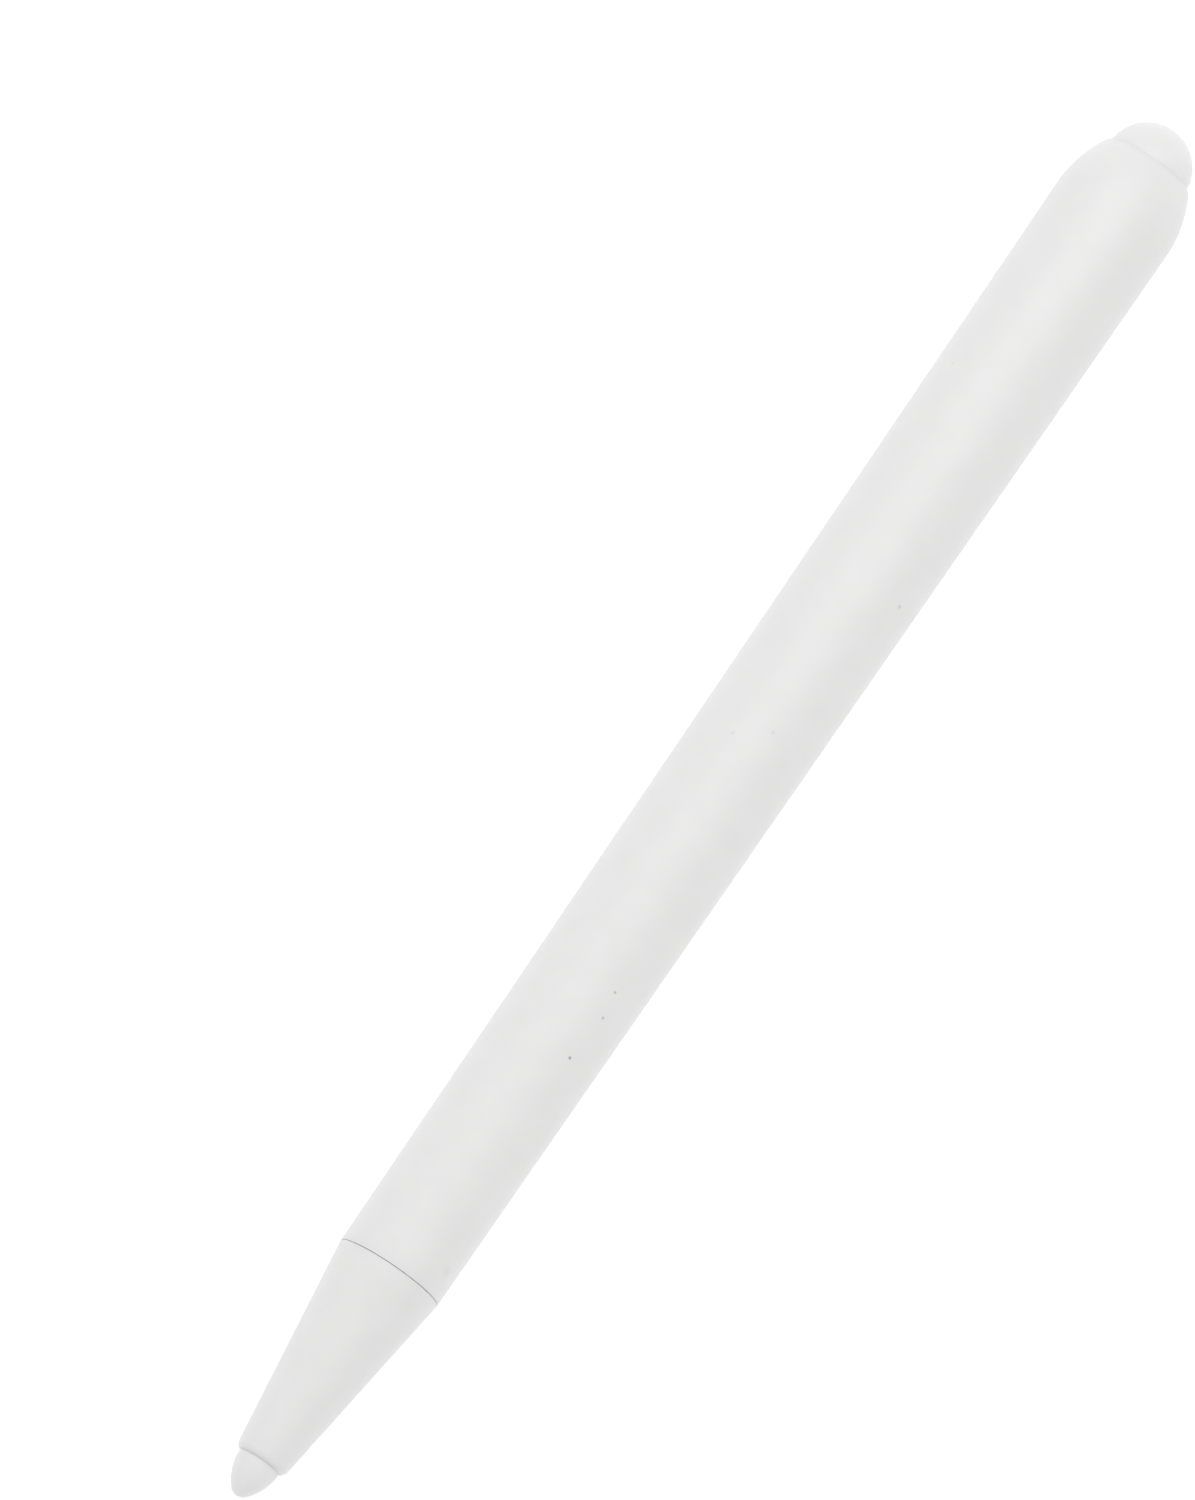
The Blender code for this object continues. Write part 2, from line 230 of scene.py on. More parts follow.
# Light
ZENITH = 0.92
BRIGHT_HORIZON = 0.75
DIM_HORIZON = 0.48
BRIGHT_SIDE = (0.69, 0.72, 0)
FLOOR_GLOW = 0.86
FLOOR_COLOUR = 0.25
FLOOR_ROUGHNESS = 0.9
PAPER_DARK = 0.9
PAPER_SIZE = 2 * MM
FLOOR_RADIUS = 4.0
KEY_PLACE = Vector((0.25, 0.02, 0.60))
KEY_LENGTH = 0.3
KEY_WIDTH = 0.7
KEY_POWER = 0.87


# Outlines


def arc(centre_station, centre_radius, radius, start, end, steps=ARC_STEPS):
    """Points of an arc. Angle 0 points outwards from the pen and 90 degrees to the rear."""
    points = []
    for angle in np.linspace(start, end, steps + 1):
        station = centre_station + radius * math.sin(angle)
        points.append((station, centre_radius + radius * math.cos(angle)))
    return points


def rounded(corners):
    """An outline from corners, where a corner with a third number is rounded to that radius."""
    points = []
    for i, corner in enumerate(corners):
        here = Vector(corner[:2])
        if len(corner) == 2:
            points.append(tuple(here))
            continue
        rounding = corner[2]
        before = (Vector(corners[i - 1][:2]) - here).normalized()
        after = (Vector(corners[(i + 1) % len(corners)][:2]) - here).normalized()
        half = before.angle(after) / 2
        centre = here + (before + after).normalized() * rounding / math.sin(half)
        reach = rounding / math.tan(half)
        for share in np.linspace(0, 1, CORNER_STEPS + 1):
            spoke = (here + before * reach).lerp(here + after * reach, share) - centre
            points.append(tuple(centre + spoke.normalized() * rounding))
    return points


def divided(outline, longest=LONG_ROW):
    """The outline with points added, so that no stretch along the pen is longer than given."""
    points = [outline[0]]
    for start, end in zip(outline, outline[1:]):
        count = max(1, math.ceil(abs(end[0] - start[0]) / longest))
        for share in np.linspace(0, 1, count + 1)[1:]:
            points.append(tuple(Vector(start).lerp(Vector(end), share)))
    return points


# Meshes


def band(near, far):
    """Faces between two rings of vertices, where a ring on the axis is a single vertex."""
    faces = []
    count = max(len(near), len(far))
    for i in range(count):
        j = (i + 1) % count
        if len(near) == 1:
            faces.append((near[0], far[j], far[i]))
        elif len(far) == 1:
            faces.append((near[i], near[j], far[0]))
        else:
            faces.append((near[i], near[j], far[j], far[i]))
    return faces


def finished_mesh(name, vertices, faces):
    """A smooth-shaded mesh with its faces pointing outwards."""
    mesh = bpy.data.meshes.new(name)
    mesh.from_pydata(vertices, [], faces)
    shape = bmesh.new()
    shape.from_mesh(mesh)
    bmesh.ops.remove_doubles(shape, verts=shape.verts, dist=NEGLIGIBLE)
    bmesh.ops.recalc_face_normals(shape, faces=shape.faces)
    shape.to_mesh(mesh)
    shape.free()
    mesh.shade_smooth()
    mesh.set_sharp_from_angle(angle=SHARP_ANGLE)
    return mesh


def turned(name, outline, segments=SEGMENTS, relief=None):
    """A mesh turned about the pen's axis.

    The outline runs down the outer side from rear to front. It goes back along the bore if there is
    one, and otherwise it starts and ends on the axis. relief(station, radius, angles) gives how far
    the surface stands up at each angle of a ring. Angle 0 points down and 90 degrees to +Y.
    """
    angles = np.arange(segments) * 2 * math.pi / segments
    vertices = []
    rings = []
    for station, radius in outline:
        first = len(vertices)
        x = PEN_START + station
        if radius < NEGLIGIBLE:
            vertices.append((x, 0, AXIS_HEIGHT))
            rings.append([first])
            continue
        reach = np.full(segments, radius)
        if relief:
            reach = reach + relief(station, radius, angles)
        sideways = reach * np.sin(angles)
        upwards = AXIS_HEIGHT - reach * np.cos(angles)
        vertices += [(x, y, z) for y, z in zip(sideways, upwards)]
        rings.append(list(range(first, first + segments)))
    pairs = list(zip(rings, rings[1:]))
    if len(rings[0]) > 1:
        pairs.append((rings[-1], rings[0]))
    faces = [face for near, far in pairs for face in band(near, far)]
    return finished_mesh(name, vertices, faces)


def add_piece(node, mesh, body, slot):
    """Puts a mesh in the place of a CAD node, on its body and with its slot's material."""
    piece = bpy.data.objects.new(node + "_finished", mesh)
    bpy.context.scene.collection.objects.link(piece)
    mesh.materials.append(MATERIALS[slot])
    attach(piece, body)
    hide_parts(node)
    return piece


# Shell


def smoothstep(value):
    """0 up to 0 and 1 from 1 on, with an even curve between them."""
    value = np.clip(value, 0, 1)
    return value * value * (3 - 2 * value)


def thread_relief(on_radius, start, end, height, root, crest):
    """A right-hand ridge on the surface at on_radius, which fades out at both its ends.

    root and crest are its half widths along the pen at its foot and at its top.
    """

    def relief(station, radius, angles):
        if abs(radius - on_radius) > NEGLIGIBLE:
            return np.zeros(len(angles))
        turns = angles / (2 * math.pi)
        ridge = (np.round(station / PITCH - turns) + turns) * PITCH
        flank = (root - np.abs(station - ridge)) / (root - crest)
        fade = np.minimum(ridge - start, end - ridge) / RUN_OUT
        return height * smoothstep(flank) * smoothstep(fade)

    return relief


def rows(start, end, radius, longest):
    """Outline points along a straight stretch, without its last point."""
    return divided([(start, radius), (end, radius)], longest)[:-1]


def build_barrel():
    """A tapered tube with a threaded mouth, a rounded rear end and a bored wall behind its opening."""
    shoulder = arc(
        TAPER_END,
        BARREL_RADIUS - SHOULDER_ARC_RADIUS,
        SHOULDER_ARC_RADIUS,
        math.asin(SHOULDER_RUN / SHOULDER_ARC_RADIUS),
        0,
    )
    opening = BROAD_NIB_RADIUS + NIB_JOINT
    floor = CAD_RIM_STATION - OPENING_DEPTH
    wall_and_pit_shade = floor - REAR_WALL_LENGTH
    groove_end = THREAD_START + THREAD_TURNS * PITCH + RUN_OUT
    outer = rounded(
        [
            (RIM_STATION, opening),
            (RIM_STATION, OPENING_EDGE_RADIUS, RIM_ROUNDING),
            *shoulder[1:],
            (MOUTH_STATION, SEAM_RADIUS, SHARP_EDGE),
            (MOUTH_STATION, BORE_RADIUS),
        ]
    )
    inner = rounded(
        [
            (groove_end + PITCH, BORE_RADIUS),
            (wall_and_pit_shade, BORE_RADIUS, SOFT_EDGE),
            (wall_and_pit_shade, REAR_WALL_BORE, SOFT_EDGE),
            (floor, REAR_WALL_BORE, SOFT_EDGE),
            (floor, opening, SOFT_EDGE),
            (RIM_STATION, opening, JOINT_EDGE),
            (RIM_STATION, OPENING_EDGE_RADIUS),
        ]
    )
    threaded = rows(MOUTH_STATION, groove_end + PITCH, BORE_RADIUS, THREAD_ROW)
    outline = divided(outer[1:-1]) + threaded + divided(inner[:-1])
    relief = thread_relief(
        BORE_RADIUS,
        MOUTH_STATION - PITCH / 2,
        groove_end,
        GROOVE_DEPTH,
        GROOVE_ROOT,
        GROOVE_CREST,
    )
    add_piece("barrel", turned("barrel", outline, relief=relief), "pen", "shell_plastic")


def build_nose_cone():
    """A cone with a round rim, a pocket for the nib's head and a threaded spigot at the rear."""
    slope = (SEAM_RADIUS - NOSE_RIM_RADIUS) / (SHOULDER_STATION - NOSE_RIM_STATION)
    lean = math.atan(slope)
    pocket = FINE_NIB_RADIUS + NIB_JOINT
    # the rim's arc touches the cone's flank and stops short of the pocket
    run = NOSE_RIM_ROUNDING * math.sin(NOSE_RIM_TURN)
    rim = arc(
        NOSE_RIM_STATION + run,
        NOSE_RIM_RADIUS + slope * run - NOSE_RIM_ROUNDING / math.cos(lean),
        NOSE_RIM_ROUNDING,
        -lean,
        -NOSE_RIM_TURN,
        ARC_STEPS // 2,
    )
    thread_end = THREAD_START + THREAD_TURNS * PITCH
    front = rounded(
        [
            (SHOULDER_STATION, SPIGOT_RADIUS, SHARP_EDGE),
            (SHOULDER_STATION, SEAM_RADIUS, SHARP_EDGE),
            *rim,
            (NOSE_RIM_STATION, pocket, JOINT_EDGE),
            (NOSE_POCKET_END, pocket, SHARP_EDGE),
            (NOSE_POCKET_END, NOSE_WEB_BORE, SHARP_EDGE),
            (NOSE_WEB_END, NOSE_WEB_BORE, SHARP_EDGE),
            (NOSE_WEB_END, NOSE_SLEEVE_BORE, SHARP_EDGE),
            (NOSE_SLEEVE_BORE_END, NOSE_SLEEVE_BORE, SOFT_EDGE),
            (NOSE_SLEEVE_BORE_END, SPIGOT_BORE_RADIUS, SOFT_EDGE),
            (SPIGOT_END, SPIGOT_BORE_RADIUS, SOFT_EDGE),
            (SPIGOT_END, SPIGOT_RADIUS, SOFT_EDGE),
        ]
    )
    foot = SHOULDER_STATION + SHARP_EDGE
    threaded = rows(SPIGOT_END - SOFT_EDGE, foot, SPIGOT_RADIUS, THREAD_ROW)
    outline = threaded + divided(front[:-1])
    relief = thread_relief(
        SPIGOT_RADIUS,
        THREAD_START,
        thread_end,
        THREAD_HEIGHT,
        THREAD_ROOT,
        THREAD_CREST,
    )
    add_piece("nose_cone", turned("nose_cone", outline, relief=relief), "nose", "shell_plastic")


# Nibs


def build_fine_nib():
    """A bullet: a small round tip that runs into a long flank arc, a straight head and a stem."""
    tip = FINE_NIB_TIP_RADIUS
    run = FINE_NIB_FLANK_END - tip
    # the flank's arc touches the tip's sphere and the head's straight side
    flank = (run**2 + FINE_NIB_RADIUS**2 - tip**2) / (2 * (FINE_NIB_RADIUS - tip))
    meeting = -math.asin(run / (flank - tip))
    flank_arc = arc(FINE_NIB_FLANK_END, FINE_NIB_RADIUS - flank, flank, 0, meeting)
    round_tip = arc(tip, 0, tip, meeting, -math.pi / 2)
    outline = rounded(
        [
            (FINE_STEM_END, 0),
            (FINE_STEM_END, FINE_STEM_RADIUS, SLUG_EDGE),
            (FINE_NIB_HEAD_END, FINE_STEM_RADIUS, SOFT_EDGE),
            (FINE_NIB_HEAD_END, FINE_NIB_RADIUS, SOFT_EDGE),
            *flank_arc,
            *round_tip[1:-1],
            (0, 0),
        ]
    )
    mesh = turned("fine_nib", divided(outline), SMALL_SEGMENTS)
    add_piece("fine_nib", mesh, "fine_nib", "nib_plastic")


def build_broad_nib():
    """A half-round dome on a short skirt, with a stem towards the front."""
    skirt = DOME_CENTRE - BROAD_SKIRT_LENGTH
    dome = arc(DOME_CENTRE, 0, BROAD_NIB_RADIUS, math.pi / 2, 0, 2 * ARC_STEPS)
    outline = rounded(
        [
            (PEN_LENGTH, 0),
            *dome[1:],
            (skirt, BROAD_NIB_RADIUS, SOFT_EDGE),
            (skirt, BROAD_STEM_RADIUS, SOFT_EDGE),
            (BROAD_STEM_START, BROAD_STEM_RADIUS, SLUG_EDGE),
            (BROAD_STEM_START, 0),
        ]
    )
    add_piece("broad_nib", turned("broad_nib", divided(outline)), "broad_nib", "nib_plastic")


# Inside pieces


def ribs(start, end, radius):
    """Outline points of a ribbed sleeve's outer side, from end to start."""
    count = round((end - start) / SLEEVE_RIB_PITCH)
    points = []
    for share in np.linspace(0, 1, count * ARC_STEPS // 2 + 1)[1:-1]:
        hollow = (1 - math.cos(2 * math.pi * count * share)) / 2
        points.append((end + (start - end) * share, radius - SLEEVE_RIB_DEPTH * hollow))
    return points


def build_fine_nib_sleeve():
    """A ribbed tube."""
    start, end, outer = extent("fine_nib_sleeve")
    inner = outer - SLEEVE_WALL
    outline = rounded(
        [
            (end, inner, SOFT_EDGE),
            (end, outer, SOFT_EDGE),
            *ribs(start + SOFT_EDGE, end - SOFT_EDGE, outer),
            (start, outer, SOFT_EDGE),
            (start, inner, SOFT_EDGE),
        ]
    )
    mesh = turned("fine_nib_sleeve", divided(outline), SMALL_SEGMENTS)
    add_piece("fine_nib_sleeve", mesh, "nose_carrier", "grip_elastomer")


def build_broad_nib_sleeve():
    """A ribbed sleeve with a flange at its front end."""
    start, end, flange = extent("broad_nib_sleeve")
    inner = BROAD_STEM_RADIUS + BROAD_STEM_GAP
    outer = inner + SLEEVE_WALL
    flange_end = start + SLEEVE_FLANGE
    outline = rounded(
        [
            (end, inner, SOFT_EDGE),
            (end, outer, SOFT_EDGE),
            *ribs(flange_end + SOFT_EDGE, end - SOFT_EDGE, outer),
            (flange_end, outer, SHARP_EDGE),
            (flange_end, flange, SOFT_EDGE),
            (start, flange, SOFT_EDGE),
            (start, inner, SOFT_EDGE),
        ]
    )
    mesh = turned("broad_nib_sleeve", divided(outline), SMALL_SEGMENTS)
    add_piece("broad_nib_sleeve", mesh, "pen", "grip_elastomer")


def build_slug(node, slot, edge):
    """A round bar with rounded ends."""
    start, end, radius = extent(node)
    outline = rounded([(end, 0), (end, radius, edge), (start, radius, edge), (start, 0)])
    add_piece(node, turned(node, divided(outline), SMALL_SEGMENTS), "pen", slot)


def build_pad(node):
    """A plug of open foam, pitted all over its side."""
    start, end, radius = extent(node)
    outline = rounded([(end, 0), (end, radius, SOFT_EDGE), (start, radius, SOFT_EDGE), (start, 0)])

    def pits(station, ring_radius, angles):
        depths = []
        for angle in angles:
            place = Vector((station, radius * math.sin(angle), radius * math.cos(angle)))
            near = noise.voronoi(place / FOAM_CELL)[0][0]
            depths.append(-FOAM_PIT_DEPTH * (1 - smoothstep(near * FOAM_PIT_STEEPNESS)))
        return np.array(depths) * ring_radius / radius

    mesh = turned(node, divided(outline, FOAM_ROW), SMALL_SEGMENTS, pits)
    pad = add_piece(node, mesh, "pen", "pad_foam")


def tray_sections(radius):
    """Two closed (sideways, upwards) outlines with matching points: a bulkhead and a trough."""
    corner = math.asin(TRAY_EDGE_HEIGHT / radius)
    outside = []
    for angle in np.linspace(corner, -math.pi - corner, 2 * ARC_STEPS + 1):
        outside.append((radius * math.cos(angle), radius * math.sin(angle)))
    trough = [(-POCKET_RADIUS, TRAY_EDGE_HEIGHT)]
    for angle in np.linspace(math.pi, 2 * math.pi, ARC_STEPS + 1):
        trough.append((POCKET_RADIUS * math.cos(angle), POCKET_RADIUS * math.sin(angle)))
    trough.append((POCKET_RADIUS, TRAY_EDGE_HEIGHT))
    bulkhead = []
    for share in np.linspace(-1, 1, len(trough)):
        bulkhead.append((share * POCKET_RADIUS, TRAY_EDGE_HEIGHT))
    return outside + bulkhead, outside + trough


def build_magnet_tray():
    """A round bar with its top cut off and a round-bottomed pocket for each slug."""
    start, end, radius = extent("magnet_tray")
    bulkhead, trough = tray_sections(radius)
    sections = [(start, bulkhead)]
    for node in ("front_magnet", "weight_rod", "rear_magnet"):
        pocket_start = extent(node)[0] - POCKET_END_GAP
        pocket_end = extent(node)[1] + POCKET_END_GAP
        sections += [(pocket_start, bulkhead), (pocket_start, trough)]
        sections += [(pocket_end, trough), (pocket_end, bulkhead)]
    sections.append((end, bulkhead))
    vertices = []
    rings = []
    for station, section in sections:
        rings.append(list(range(len(vertices), len(vertices) + len(section))))
        vertices += [(PEN_START + station, y, AXIS_HEIGHT + z) for y, z in section]
    faces = [face for near, far in zip(rings, rings[1:]) for face in band(near, far)]
    faces += [tuple(rings[0]), tuple(rings[-1])]
    mesh = finished_mesh("magnet_tray", vertices, faces)
    tray = add_piece("magnet_tray", mesh, "pen", "tray_plastic")
    bevel = tray.modifiers.new("edges", "BEVEL")
    bevel.width = SHARP_EDGE
    bevel.segments = BEVEL_SEGMENTS
    bevel.limit_method = "ANGLE"
    bevel.angle_limit = SHARP_ANGLE


# Materials


def new_node(tree, kind, settings=None, inputs=None):
    """A shader node, whose inputs are set to values or joined to other nodes' outputs."""
    made = tree.nodes.new("ShaderNode" + kind)
    for name, value in (settings or {}).items():
        setattr(made, name, value)
    for name, value in (inputs or {}).items():
        if isinstance(value, bpy.types.NodeSocket):
            tree.links.new(value, made.inputs[name])
        else:
            made.inputs[name].default_value = value
    return made


def new_material(name, colour, roughness, metallic=0.0):
    """A plain material, its node tree, its shader and its texture space."""
    material = bpy.data.materials.new(name)
    material.use_nodes = True
    tree = material.node_tree
    shader = tree.nodes["Principled BSDF"]
    shader.inputs["Base Color"].default_value = (*colour, 1)
    shader.inputs["Roughness"].default_value = roughness
    shader.inputs["Metallic"].default_value = metallic
    place = new_node(tree, "TexCoord").outputs["Object"]
    return material, tree, shader, place


def cloud(tree, place, size, detail=2.0):
    """Soft random spots of about the given size, from 0 to 1."""
    inputs = {"Vector": place, "Scale": 1 / size, "Detail": detail}
    return new_node(tree, "TexNoise", inputs=inputs).outputs[0]


def ranged(tree, value, low, high, to_low, to_high, easing="SMOOTHSTEP"):
    """The value brought from the range low to high into the range to_low to to_high."""
    settings = {"interpolation_type": easing}
    inputs = {"Value": value, "From Min": low, "From Max": high, "To Min": to_low, "To Max": to_high}
    return new_node(tree, "MapRange", settings, inputs).outputs[0]


def combined(tree, operation, first, second):
    """The result of a sum or other operation on two values."""
    return new_node(tree, "Math", {"operation": operation}, {0: first, 1: second}).outputs[0]


def shaded(tree, factor, dark, light):
    """A colour between dark and light."""
    inputs = {0: factor, 6: (*dark, 1), 7: (*light, 1)}
    return new_node(tree, "Mix", {"data_type": "RGBA"}, inputs).outputs[2]


def bumped(tree, height, depth, below=None):
    """A normal bent by a height of the given depth, on top of another bent normal."""
    inputs = {"Height": height, "Distance": depth, "Strength": 1.0}
    if below:
        inputs["Normal"] = below
    return new_node(tree, "Bump", inputs=inputs).outputs[0]


def stretched(tree, place, along, across):
    """Texture space scaled along and across the pen."""
    settings = {"vector_type": "TEXTURE"}
    inputs = {"Vector": place, "Scale": (along, across, across)}
    return new_node(tree, "Mapping", settings, inputs).outputs[0]


def grey(value):
    """A neutral colour."""
    return (value, value, value)


def white_plastic(name, colour, roughness, grain_depth):
    """Satin moulded plastic: a fine grain, a slight waviness and faint mottling."""
    material, tree, shader, place = new_material(name, colour, roughness)
    tone = ranged(tree, cloud(tree, place, MOTTLE_SIZE, 3), 0.3, 0.7, 0, 1)
    dark = [value * MOTTLE_DARK for value in colour]
    light = [value * MOTTLE_LIGHT for value in colour]
    tree.links.new(shaded(tree, tone, dark, light), shader.inputs["Base Color"])
    smooth, rough = roughness - RUB_RANGE, roughness + RUB_RANGE
    rubbed = ranged(tree, cloud(tree, place, RUB_SIZE), 0.2, 0.8, smooth, rough)
    tree.links.new(rubbed, shader.inputs["Roughness"])
    wavy = bumped(tree, cloud(tree, place, WAVE_SIZE, 1), WAVE_DEPTH)
    grain = bumped(tree, cloud(tree, place, GRAIN_SIZE, 2), grain_depth, wavy)
    tree.links.new(grain, shader.inputs["Normal"])
    return material, tree, shader, place


def translucent(shader):
    """Lets some of the light travel a little way under the surface."""
    shader.inputs["Subsurface Weight"].default_value = TRANSLUCENCY
    shader.inputs["Subsurface Radius"].default_value = LIGHT_REACH_BY_COLOUR
    shader.inputs["Subsurface Scale"].default_value = LIGHT_REACH


def speck(tree, place, station, angle, radius, depth):
    """A soft round spot on the barrel's flank, from depth at its middle to 0 at its edge."""
    share = (station - MOUTH_STATION) / (TAPER_END - MOUTH_STATION)
    reach = SEAM_RADIUS + share * (BARREL_RADIUS - SEAM_RADIUS)
    angle = math.radians(angle)
    middle = (PEN_START + station, reach * math.sin(angle), AXIS_HEIGHT - reach * math.cos(angle))
    inputs = {0: place, 1: middle}
    away = new_node(tree, "VectorMath", {"operation": "DISTANCE"}, inputs).outputs["Value"]
    return ranged(tree, away, 0, radius, depth, 0)


def shell_plastic():
    """White ABS, with a few specks of dust on the barrel."""
    material, tree, shader, place = white_plastic(
        "shell_plastic", SHELL_COLOUR, SHELL_ROUGHNESS, SHELL_GRAIN_DEPTH
    )
    plastic = shader.inputs["Base Color"].links[0].from_socket
    dust = 0
    for station, angle, radius, depth in SPECKS:
        spot = speck(tree, place, station * MM, angle, radius * MM, depth)
        dust = combined(tree, "ADD", spot, dust)
    inputs = {0: dust, 6: plastic, 7: (*grey(0), 1)}
    dusty = new_node(tree, "Mix", {"data_type": "RGBA"}, inputs).outputs[2]
    tree.links.new(dusty, shader.inputs["Base Color"])
    translucent(shader)
    return material


def nib_plastic():
    """White acetal, slightly paler and smoother than the shell."""
    material, _, shader, _ = white_plastic(
        "nib_plastic", NIB_COLOUR, NIB_ROUGHNESS, NIB_GRAIN_DEPTH
    )
    translucent(shader)
    return material


def grip_elastomer():
    """Matt grey rubber with a powdery bloom."""
    plain, dark, light = RUBBER_COLOURS
    usual, smooth, rough = RUBBER_ROUGHNESS
    material, tree, shader, place = new_material("grip_elastomer", plain, usual)
    bloom = ranged(tree, cloud(tree, place, RUBBER_BLOOM_SIZE, 4), PATCH_LOW, PATCH_HIGH, 0, 1)
    tree.links.new(shaded(tree, bloom, dark, light), shader.inputs["Base Color"])
    tree.links.new(ranged(tree, bloom, 0, 1, smooth, rough), shader.inputs["Roughness"])
    grain = bumped(tree, cloud(tree, place, RUBBER_GRAIN_SIZE, 2), RUBBER_GRAIN_DEPTH)
    tree.links.new(grain, shader.inputs["Normal"])
    return material


def tray_plastic():
    """Black plastic with an eroded mould texture."""
    plain, dark, light = [grey(value) for value in TRAY_COLOURS]
    usual, smooth, rough = TRAY_ROUGHNESS
    material, tree, shader, place = new_material("tray_plastic", plain, usual)
    patch = ranged(tree, cloud(tree, place, TRAY_PATCH_SIZE, 3), PATCH_LOW, PATCH_HIGH, 0, 1)
    tree.links.new(shaded(tree, patch, dark, light), shader.inputs["Base Color"])
    tree.links.new(ranged(tree, patch, 0, 1, smooth, rough), shader.inputs["Roughness"])
    grain = bumped(tree, cloud(tree, place, TRAY_GRAIN_SIZE, 3), TRAY_GRAIN_DEPTH)
    tree.links.new(grain, shader.inputs["Normal"])
    return material


def magnet_plating():
    """Bright nickel with the faint orange peel of barrel plating."""
    plain, dark, light = NICKEL_COLOURS
    usual, smooth, rough = NICKEL_ROUGHNESS
    material, tree, shader, place = new_material("magnet_plating", plain, usual, 1)
    stain = ranged(tree, cloud(tree, place, NICKEL_STAIN_SIZE, 4), PATCH_LOW, PATCH_HIGH, 0, 1)
    tree.links.new(shaded(tree, stain, dark, light), shader.inputs["Base Color"])
    tree.links.new(ranged(tree, stain, 0, 1, smooth, rough), shader.inputs["Roughness"])
    peel = bumped(tree, cloud(tree, place, NICKEL_PEEL_SIZE, 2), NICKEL_PEEL_DEPTH)
    tree.links.new(peel, shader.inputs["Normal"])
    return material


def weight_steel():
    """Cold-drawn steel, streaked along its length."""
    plain, dark, light = STEEL_COLOURS
    usual, smooth, rough = STEEL_ROUGHNESS
    material, tree, shader, place = new_material("weight_steel", plain, usual, 1)
    drawn = cloud(tree, stretched(tree, place, STEEL_STREAK_STRETCH, 1), STEEL_STREAK_WIDTH, 3)
    stain = ranged(tree, cloud(tree, place, STEEL_STAIN_SIZE, 4), PATCH_LOW, PATCH_HIGH, 0, 1)
    tree.links.new(shaded(tree, stain, dark, light), shader.inputs["Base Color"])
    tree.links.new(ranged(tree, drawn, 0.3, 0.7, smooth, rough), shader.inputs["Roughness"])
    tree.links.new(bumped(tree, drawn, STEEL_STREAK_DEPTH), shader.inputs["Normal"])
    return material


def pad_foam():
    """Dark open-cell foam, with painted shade in the hollows of its cells."""
    plain, dark, light = FOAM_COLOURS
    material, tree, shader, place = new_material("pad_foam", plain, FOAM_ROUGHNESS)
    inputs = {"Vector": place, "Scale": 1 / FOAM_CELL}
    cells = new_node(tree, "TexVoronoi", inputs=inputs).outputs["Distance"]
    wall_and_pit_shade = ranged(tree, cells, 0.1, 0.6, 0, 1)
    # painted shade: the colour is darkest in the cells' hollows, where the bump sinks
    tree.links.new(shaded(tree, wall_and_pit_shade, dark, light), shader.inputs["Base Color"])
    fuzz = bumped(tree, cloud(tree, place, FOAM_FUZZ_SIZE, 3), FOAM_FUZZ_DEPTH)
    tree.links.new(bumped(tree, wall_and_pit_shade, FOAM_CELL_DEPTH, fuzz), shader.inputs["Normal"])
    return material


MATERIALS = {
    "shell_plastic": shell_plastic(),
    "nib_plastic": nib_plastic(),
    "grip_elastomer": grip_elastomer(),
    "tray_plastic": tray_plastic(),
    "magnet_plating": magnet_plating(),
    "weight_steel": weight_steel(),
    "pad_foam": pad_foam(),
}


# Studio


def build_floor():
    """A wide floor that glows white, so that the pen casts next to no shadow on it."""
    mesh = bpy.data.meshes.new("floor")
    shape = bmesh.new()
    bmesh.ops.create_circle(shape, cap_ends=True, radius=FLOOR_RADIUS, segments=SEGMENTS)
    shape.to_mesh(mesh)
    shape.free()
    floor = bpy.data.objects.new("floor", mesh)
    bpy.context.scene.collection.objects.link(floor)
    material, tree, shader, place = new_material(
        "floor_white", grey(FLOOR_COLOUR), FLOOR_ROUGHNESS
    )
    fibres = cloud(tree, place, PAPER_SIZE, 3)
    paper = shaded(tree, fibres, grey(FLOOR_COLOUR * PAPER_DARK), grey(FLOOR_COLOUR))
    tree.links.new(paper, shader.inputs["Base Color"])
    shader.inputs["Specular IOR Level"].default_value = 0
    shader.inputs["Emission Color"].default_value = (*grey(1), 1)
    shader.inputs["Emission Strength"].default_value = FLOOR_GLOW
    mesh.materials.append(material)


def turned_towards(tree, direction, target):
    """1 where a direction points at the target, 0 at right angles to it and -1 away from it."""
    inputs = {0: direction, 1: target}
    return new_node(tree, "VectorMath", {"operation": "DOT_PRODUCT"}, inputs).outputs["Value"]


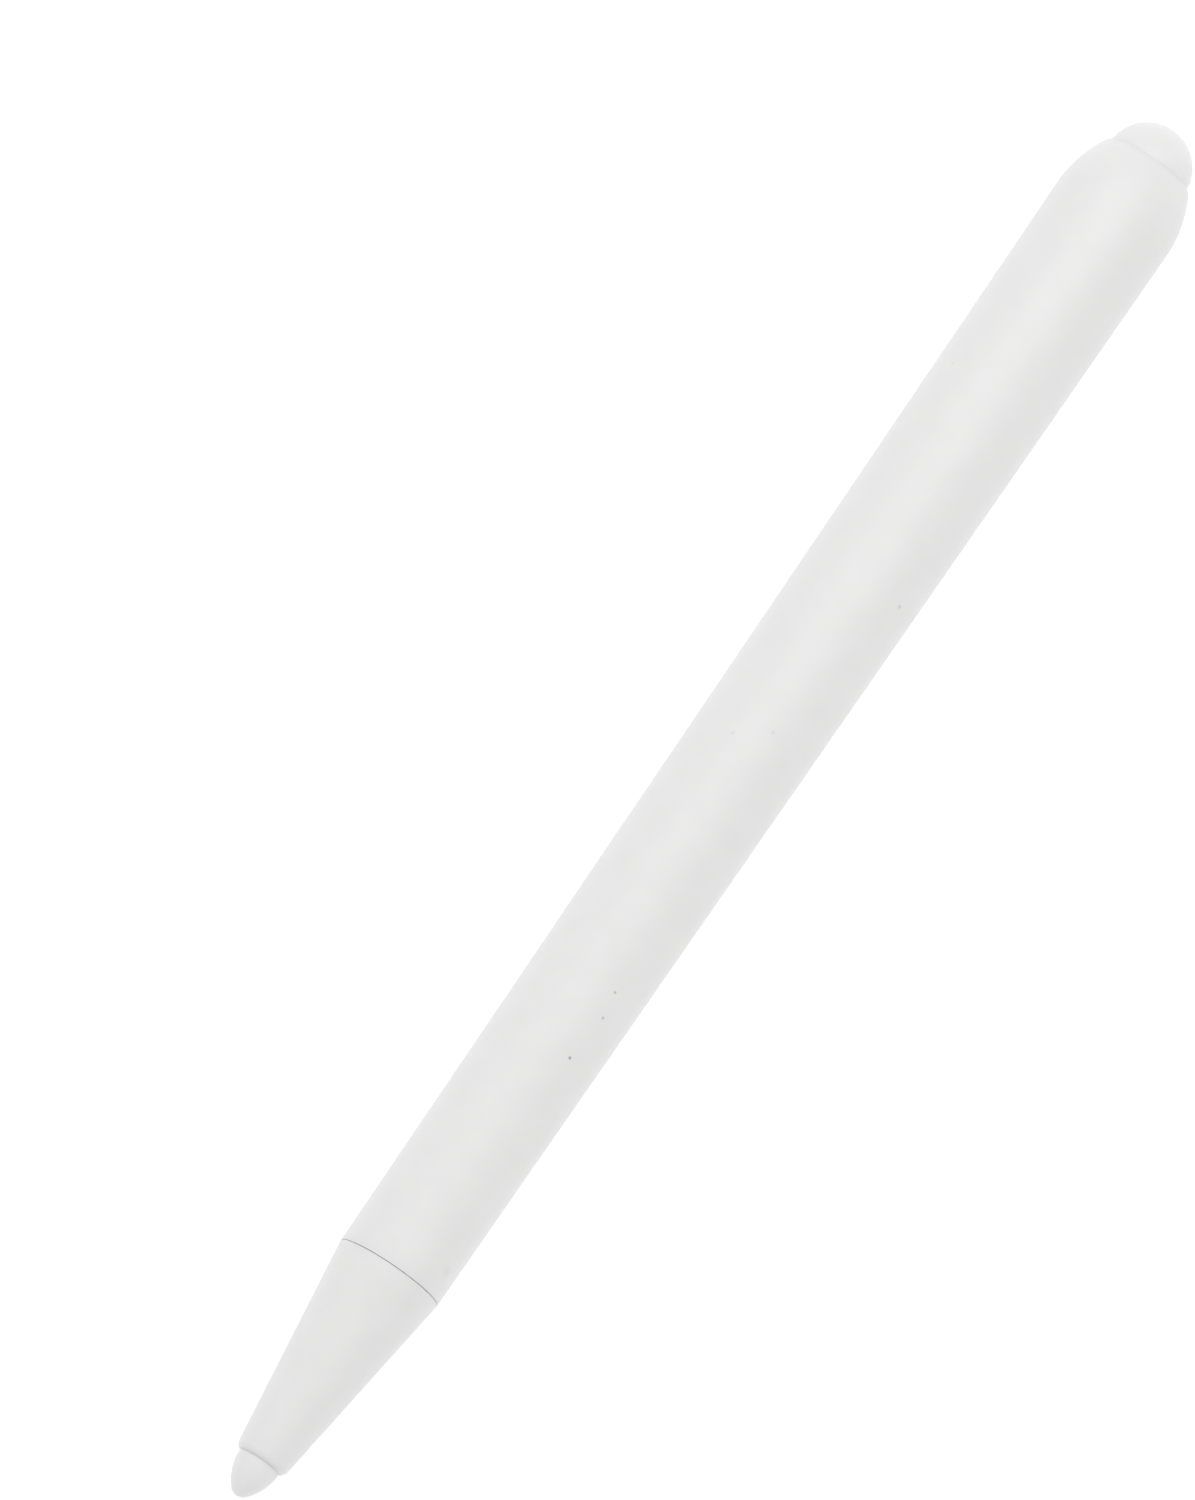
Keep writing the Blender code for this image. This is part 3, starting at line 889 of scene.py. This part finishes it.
def build_world():
    """Soft light from all round, brightest overhead, and brighter at one side of the horizon."""
    world = bpy.data.worlds.new("studio")
    bpy.context.scene.world = world
    world.use_nodes = True
    tree = world.node_tree
    direction = new_node(tree, "TexCoord").outputs["Generated"]
    sideways = turned_towards(tree, direction, BRIGHT_SIDE)
    horizon = ranged(tree, sideways, -1, 1, DIM_HORIZON, BRIGHT_HORIZON, "LINEAR")
    climb = ranged(tree, turned_towards(tree, direction, (0, 0, 1)), 0, 1, 0, 1)
    mix = new_node(tree, "Mix", {"data_type": "FLOAT"}, {0: climb, 2: horizon, 3: ZENITH})
    tree.links.new(mix.outputs[0], tree.nodes["Background"].inputs["Strength"])
    tree.nodes["Background"].inputs["Color"].default_value = (*grey(1), 1)


def build_key_light():
    """A wide soft panel above the pen and beyond its rear end, turned towards the pen."""
    panel = bpy.data.lights.new("key", "AREA")
    panel.shape = "RECTANGLE"
    panel.size = KEY_WIDTH
    panel.size_y = KEY_LENGTH
    panel.energy = KEY_POWER
    key = bpy.data.objects.new("key", panel)
    bpy.context.scene.collection.objects.link(key)
    key.location = PEN_CENTRE + KEY_PLACE
    key.rotation_euler = (-KEY_PLACE).to_track_quat("-Z", "Y").to_euler()


def build_camera():
    """A long lens high above the pen."""
    back = Vector(
        (
            math.sin(CAMERA_AZIMUTH) * math.cos(CAMERA_ELEVATION),
            -math.cos(CAMERA_AZIMUTH) * math.cos(CAMERA_ELEVATION),
            math.sin(CAMERA_ELEVATION),
        )
    )
    lens = bpy.data.cameras.new("camera")
    lens.lens = CAMERA_LENS
    lens.sensor_fit = "HORIZONTAL"
    camera = bpy.data.objects.new("camera", lens)
    bpy.context.scene.collection.objects.link(camera)
    camera.location = PEN_CENTRE + AIM_OFFSET + back * CAMERA_DISTANCE
    camera.rotation_euler = (-back).to_track_quat("-Z", "Y").to_euler()
    bpy.context.scene.camera = camera


build_camera()
build_world()
build_key_light()
build_floor()
bpy.context.scene.view_settings.view_transform = "Standard"

build_barrel()
build_nose_cone()
build_fine_nib()
build_broad_nib()
build_fine_nib_sleeve()
build_broad_nib_sleeve()
build_magnet_tray()
build_slug("front_magnet", "magnet_plating", SLUG_EDGE)
build_slug("rear_magnet", "magnet_plating", SLUG_EDGE)
build_slug("weight_rod", "weight_steel", SLUG_EDGE)
build_pad("front_pad")
build_pad("rear_pad")
